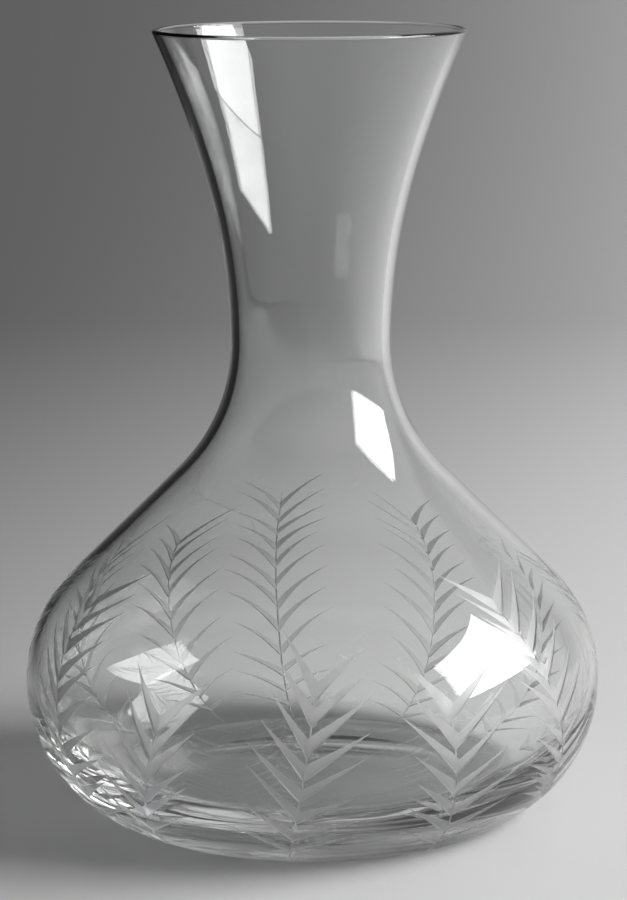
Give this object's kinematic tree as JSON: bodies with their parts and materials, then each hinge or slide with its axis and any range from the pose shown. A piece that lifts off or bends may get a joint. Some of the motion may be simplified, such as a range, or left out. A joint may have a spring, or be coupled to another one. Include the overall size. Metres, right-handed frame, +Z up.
{
  "type": "decanter",
  "caption": "One-piece blown-glass decanter: wide low round bowl, narrow waist, flared open mouth, flat base and wheel-cut leaf sprays round the bowl.",
  "frame": {"origin": "centre of the flat base, on the surface it stands on", "axes": "+Z up along the axis of the bowl and mouth; +Y away from the pictured side"},
  "size_m": [0.178, 0.178, 0.24],
  "materials": {
    "clear_glass": "clear colourless glass, fire-polished lip, matte wheel-cut leaves"
  },
  "bodies": {
    "root": {"decanter_body": "clear_glass"}
  },
  "joints": []
}
